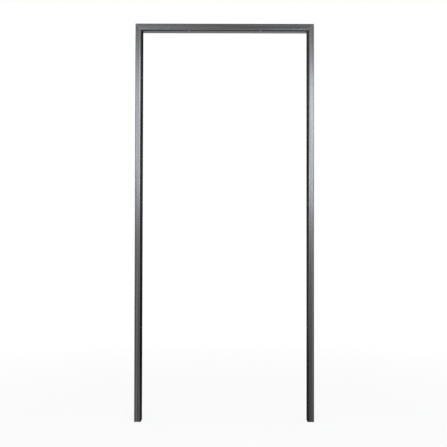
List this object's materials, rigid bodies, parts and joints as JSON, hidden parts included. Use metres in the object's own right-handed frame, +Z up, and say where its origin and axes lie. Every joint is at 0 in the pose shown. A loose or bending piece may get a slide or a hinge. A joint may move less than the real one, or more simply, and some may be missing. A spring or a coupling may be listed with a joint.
{
  "type": "upvc door frame",
  "caption": "Bare three-sided door frame of hollow wood-grain plastic profiles, mitred at the top corners, with a seal in the rebate that the leaf closes into.",
  "frame": {"origin": "middle of the frame's width and depth, on the floor plane under the feet", "axes": "+X across the opening, +Y towards the side that the leaf closes into, +Z up from the feet"},
  "size_m": [0.9, 0.1, 2],
  "materials": {
    "woodgrain_upvc": "dark grey wood-grain foil, satin",
    "galvanised_steel": "galvanised",
    "cast_cleat": "as cast",
    "screw_steel": "zinc plated",
    "seal_rubber": "matt"
  },
  "bodies": {
    "root": {"jamb_left": "woodgrain_upvc", "jamb_right": "woodgrain_upvc", "head": "woodgrain_upvc", "reinforcement_left": "galvanised_steel", "reinforcement_right": "galvanised_steel", "reinforcement_head": "galvanised_steel", "corner_cleat_left": "cast_cleat", "corner_cleat_right": "cast_cleat", "cleat_screws_left": "screw_steel", "cleat_screws_right": "screw_steel", "seal_left": "seal_rubber", "seal_right": "seal_rubber", "seal_head": "seal_rubber"}
  },
  "joints": []
}
